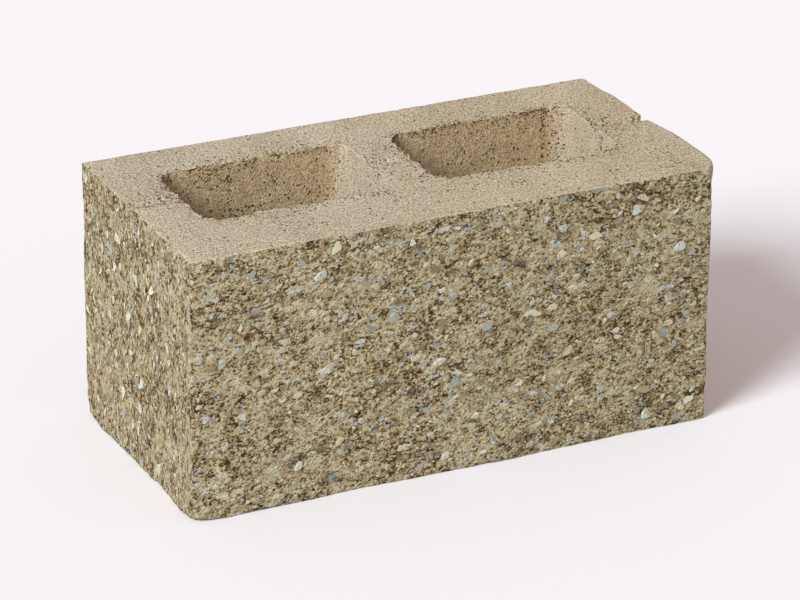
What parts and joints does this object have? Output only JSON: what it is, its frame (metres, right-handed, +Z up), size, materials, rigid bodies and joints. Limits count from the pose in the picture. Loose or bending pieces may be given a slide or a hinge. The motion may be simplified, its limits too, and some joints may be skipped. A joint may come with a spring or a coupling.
{
  "type": "concrete fence block",
  "caption": "Hollow concrete fence block, split-faced on its front and one end and plain on the rest, with tapered through cells; laid in courses and filled to build a fence.",
  "frame": {"origin": "middle of the underside", "axes": "+X along the block to its plain moulded end, +Y across it to its plain moulded back, +Z up; the split faces look along -Y and -X"},
  "size_m": [0.3896, 0.1899, 0.19],
  "materials": {
    "concrete": "matte sand-coloured concrete, moulded smooth on top and broken rough on the split faces"
  },
  "bodies": {
    "root": {"fence_block": "concrete"}
  },
  "joints": []
}
